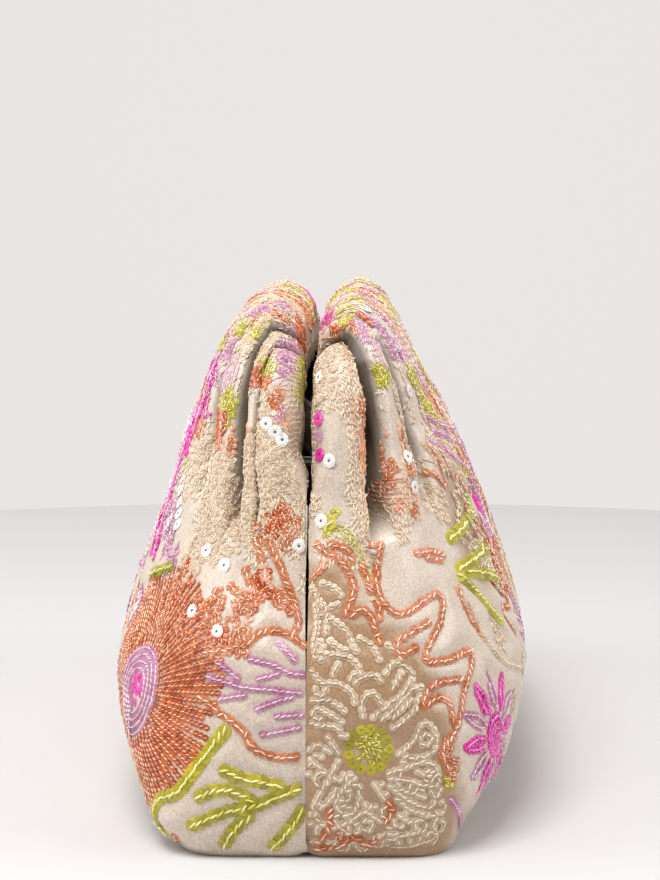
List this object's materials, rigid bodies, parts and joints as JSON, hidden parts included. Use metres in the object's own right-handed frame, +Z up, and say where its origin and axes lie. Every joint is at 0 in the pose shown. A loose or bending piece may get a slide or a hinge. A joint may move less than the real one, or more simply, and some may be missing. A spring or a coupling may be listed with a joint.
{
  "type": "evening clutch",
  "caption": "Soft gathered pouch clutch of embroidered satin panels on a hidden frame, with a flat base, a slit mouth along the top and a hollow inside for small things.",
  "frame": {"origin": "under the middle of the whole, on the surface that the base rests on", "axes": "+X along the mouth, -Y towards the front panel, +Z up"},
  "size_m": [0.25, 0.1146, 0.1355],
  "materials": {
    "satin": "champagne satin, padded, with sequin embroidery",
    "frame_steel": "plain plated"
  },
  "bodies": {
    "root": {"front_panel": "satin", "back_panel": "satin", "mouth_frame": "frame_steel"}
  },
  "joints": []
}
